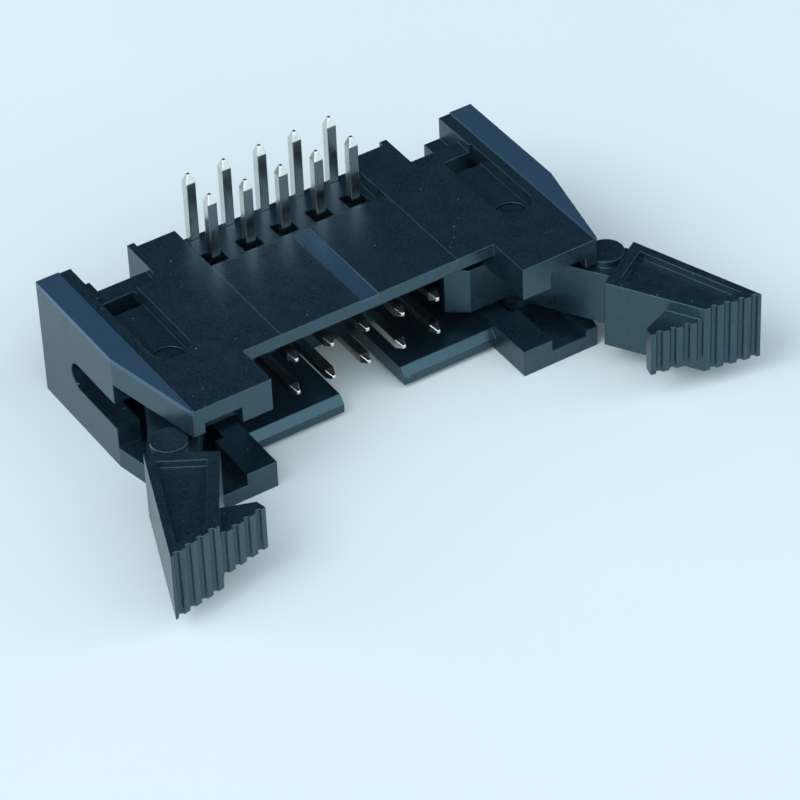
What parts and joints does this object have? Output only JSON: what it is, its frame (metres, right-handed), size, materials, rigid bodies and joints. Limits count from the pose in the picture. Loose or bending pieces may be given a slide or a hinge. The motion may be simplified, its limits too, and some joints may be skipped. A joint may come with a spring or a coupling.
{
  "type": "right-angle latched box header",
  "caption": "Black shrouded right-angle board header with two rows of square pins, a polarising slot and a swinging ejector latch at each end.",
  "frame": {"origin": "centre of the housing's footprint on the plane of the tower undersides, midway between the latches", "axes": "+X along the pin rows, -Y towards the mating plug, +Z towards the board face and the solder tails"},
  "size_m": [0.0416, 0.0244, 0.0122],
  "materials": {
    "housing_plastic": "moulded black, finely speckled, smooth rails",
    "latch_plastic": "moulded black, satin",
    "pin_metal": "bright tin plate"
  },
  "bodies": {
    "header": {"housing": "housing_plastic", "upper_pin_1": "pin_metal", "lower_pin_1": "pin_metal", "upper_pin_2": "pin_metal", "lower_pin_2": "pin_metal", "upper_pin_3": "pin_metal", "lower_pin_3": "pin_metal", "upper_pin_4": "pin_metal", "lower_pin_4": "pin_metal", "upper_pin_5": "pin_metal", "lower_pin_5": "pin_metal"},
    "left_ejector": {"left_latch": "latch_plastic"},
    "right_ejector": {"right_latch": "latch_plastic"}
  },
  "joints": [
    {"name": "left_latch_hinge", "type": "hinge", "parent": "header", "child": "left_ejector", "pos_m": [-0.0123, -0.0018, 0.00395], "axis": [0, 0, 1], "range_deg": [0, 31.4]},
    {"name": "right_latch_hinge", "type": "hinge", "parent": "header", "child": "right_ejector", "pos_m": [0.0123, -0.0018, 0.00395], "axis": [0, 0, -1], "range_deg": [0, 31.4]}
  ]
}
